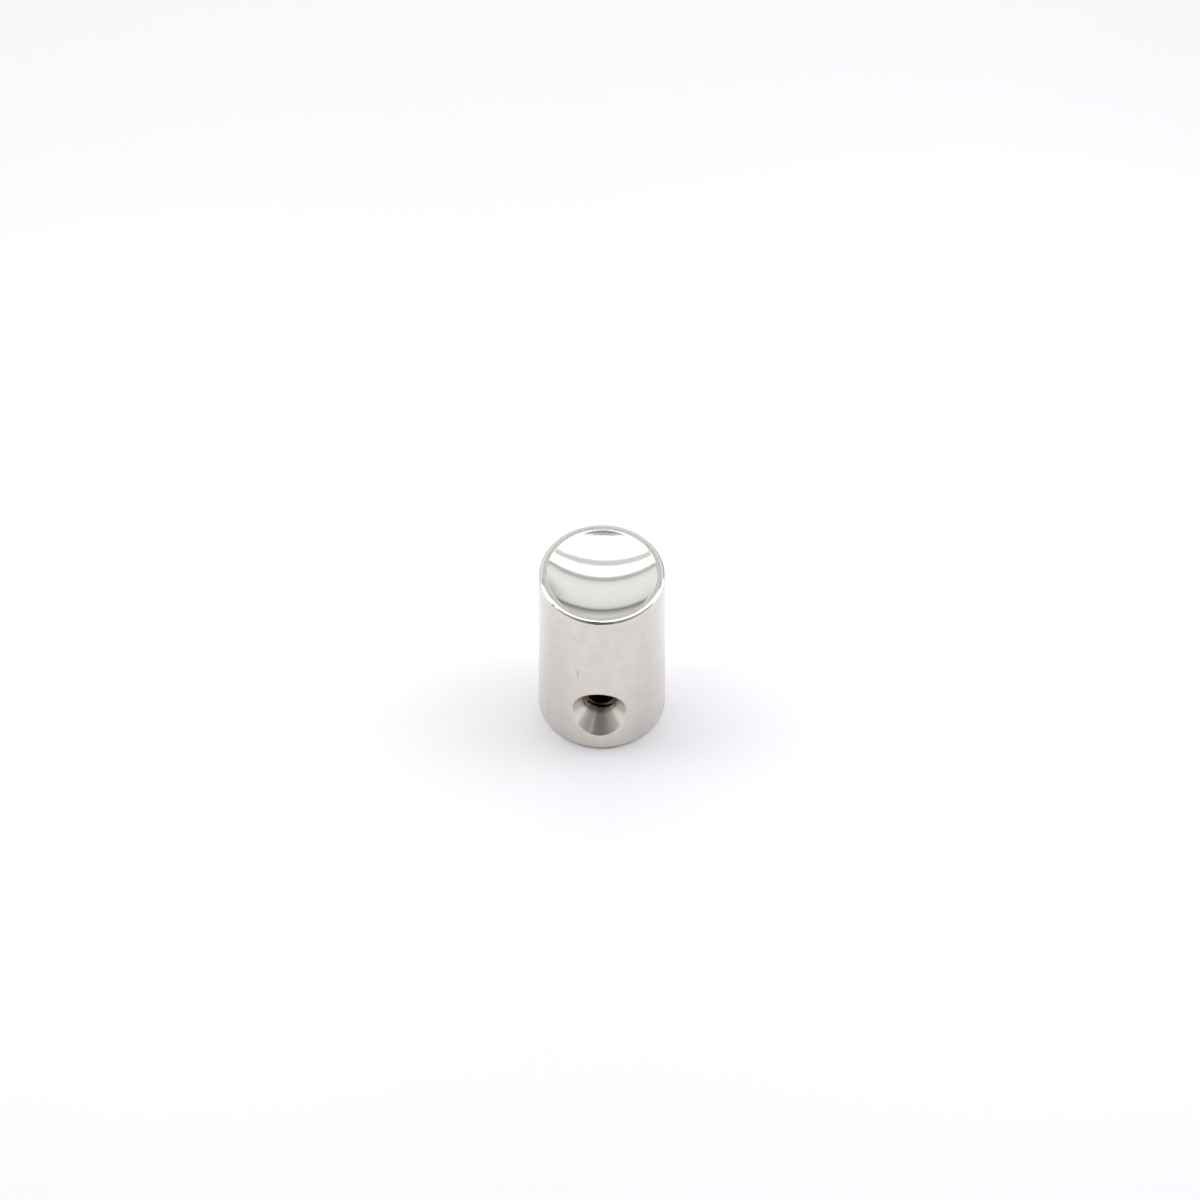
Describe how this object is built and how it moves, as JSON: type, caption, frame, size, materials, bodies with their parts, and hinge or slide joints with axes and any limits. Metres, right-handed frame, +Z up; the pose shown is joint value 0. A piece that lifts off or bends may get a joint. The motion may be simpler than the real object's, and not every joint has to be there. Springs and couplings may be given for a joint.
{
  "type": "pull knob",
  "caption": "Turned steel pull knob with a dished finger end, a blind bore for a plain rod and a countersunk side hole for the grub screw that clamps it.",
  "frame": {"origin": "centre of the base face that the knob stands on", "axes": "+Z up along the knob's axis, -Y towards the mouth of the grub screw's hole"},
  "size_m": [0.016, 0.016, 0.026],
  "materials": {
    "nickel_plated_steel": "turned steel with a bright nickel plate: satin and faintly mottled on the side, polished in the dish",
    "black_oxide_steel": "black oxide over hardened steel, slightly oily"
  },
  "bodies": {
    "knob": {"knob_body": "nickel_plated_steel"},
    "grub_screw": {"grub_screw": "black_oxide_steel"}
  },
  "joints": [
    {"name": "grub_screw_travel", "type": "slide", "parent": "knob", "child": "grub_screw", "axis": [0, -1, 0], "range_m": [-0.0007, 0.0028]}
  ]
}
